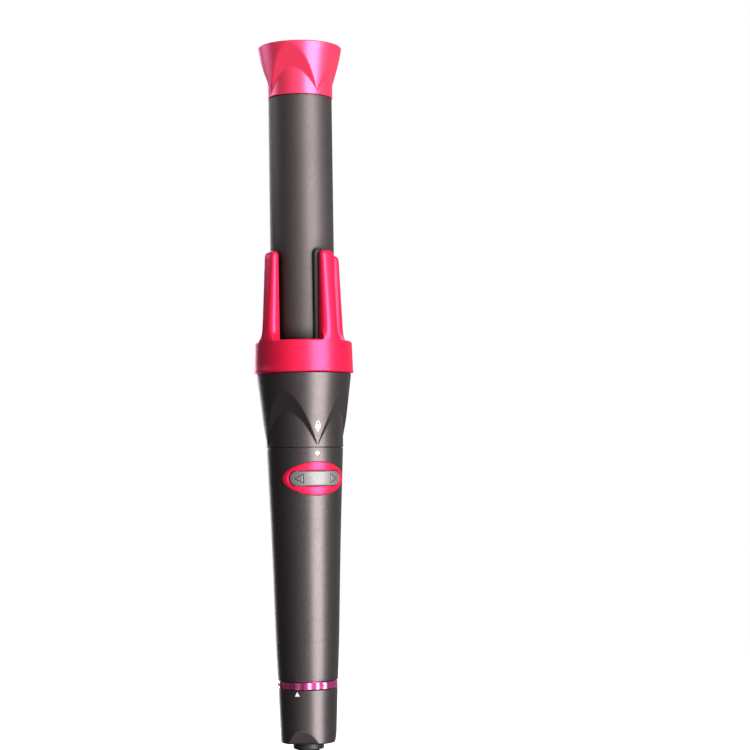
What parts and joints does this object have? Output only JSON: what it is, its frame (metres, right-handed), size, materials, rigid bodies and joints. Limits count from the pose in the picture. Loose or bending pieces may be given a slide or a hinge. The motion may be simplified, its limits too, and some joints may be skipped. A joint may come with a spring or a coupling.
{
  "type": "automatic hair curler",
  "caption": "Hand-held automatic hair curler: motor-driven pronged crown round a removable heated barrel, twist-lock ring, rocker switch, temperature dial and swivel cord.",
  "frame": {"origin": "on the long axis at the cut end of the power cord, the lowest point", "axes": "+Z along the long axis from the cord to the barrel tip; -Y is the control side; +X is to the right seen from the control side"},
  "size_m": [0.052, 0.052, 0.4075],
  "materials": {
    "satin_shell": "satin, dark gunmetal with a fine metallic grain",
    "barrel_coat": "satin ceramic coat, dark gunmetal",
    "pink_shell": "satin-gloss metallic pink",
    "pink_chrome": "polished, tinted pink",
    "button": "satin grey",
    "steel": "brushed",
    "brass": "bright",
    "aluminium": "satin",
    "grey_plastic": "moulded grey",
    "black_plastic": "moulded black",
    "white_plastic": "moulded off-white",
    "circuit_board": "green lacquer",
    "cord_rubber": "matt black",
    "nylon": "natural nylon"
  },
  "bodies": {
    "handle": {"handle_sleeve": "satin_shell", "rocker_bezel": "pink_shell", "scale_ring": "pink_chrome", "chassis_spine": "grey_plastic", "motor_can": "steel", "motor_mount": "aluminium", "motor_screw_left": "steel", "motor_screw_right": "steel", "barrel_socket": "grey_plastic", "crown_bearing": "nylon", "live_pin": "brass", "neutral_pin": "brass", "sensor_pin": "brass", "main_board": "circuit_board", "filter_capacitor": "black_plastic", "relay_block": "white_plastic", "heat_sink": "aluminium", "control_chip": "black_plastic", "switch_board": "circuit_board", "left_switch": "black_plastic", "right_switch": "black_plastic", "rocker_cradle": "grey_plastic", "rocker_pin": "steel", "potentiometer": "steel", "dial_retainer": "grey_plastic"},
    "crown": {"crown_shell": "pink_shell", "crown_ring_gear": "nylon"},
    "layshaft": {"layshaft_gear": "steel"},
    "motor_rotor": {"motor_pinion": "steel"},
    "lock": {"lock_ring": "satin_shell", "lock_plate": "steel"},
    "barrel": {"barrel_tip": "pink_shell", "barrel_tube": "barrel_coat", "prong_collar": "satin_shell", "barrel_base": "grey_plastic", "plug_shaft": "steel", "contact_disc": "brass", "heater_bar": "white_plastic", "front_heat_spreader": "aluminium", "rear_heat_spreader": "aluminium", "thermistor": "black_plastic", "base_screw": "steel"},
    "rocker": {"rocker_button": "button"},
    "dial": {"dial_cap": "satin_shell", "dial_spindle": "nylon"},
    "cord": {"swivel_hub": "black_plastic", "strain_relief": "cord_rubber", "power_cord": "cord_rubber"}
  },
  "joints": [
    {"name": "crown_spin", "type": "hinge", "parent": "handle", "child": "crown", "pos_m": [0, 0, 0.245], "axis": [0, 0, 1], "continuous": true},
    {"name": "layshaft_spin", "type": "hinge", "parent": "handle", "child": "layshaft", "pos_m": [0, 0.01, 0.21], "axis": [0, 0, 1], "continuous": true},
    {"name": "motor_spin", "type": "hinge", "parent": "handle", "child": "motor_rotor", "pos_m": [0, 0, 0.2], "axis": [0, 0, 1], "continuous": true},
    {"name": "lock_ring_turn", "type": "hinge", "parent": "handle", "child": "lock", "pos_m": [0, 0, 0.218], "axis": [0, 0, 1], "range_deg": [0, 90]},
    {"name": "barrel_pull", "type": "slide", "parent": "handle", "child": "barrel", "axis": [0, 0, 1], "range_m": [0, 0.05]},
    {"name": "rocker_tilt", "type": "hinge", "parent": "handle", "child": "rocker", "pos_m": [0, -0.0152, 0.1809], "axis": [0, 0, 1], "range_deg": [-2, 2], "stiffness_Nm_per_rad": 0.05},
    {"name": "dial_turn", "type": "hinge", "parent": "handle", "child": "dial", "pos_m": [0, 0, 0.058], "axis": [0, 0, 1], "range_deg": [-120, 150]},
    {"name": "cord_swivel", "type": "hinge", "parent": "handle", "child": "cord", "pos_m": [0, 0, 0.046], "axis": [0, 0, 1], "continuous": true}
  ],
  "couplings": [
    {"joint": "layshaft_spin", "follows": "crown_spin", "ratio": 3.7778},
    {"joint": "motor_spin", "follows": "crown_spin", "ratio": -2.9683}
  ]
}
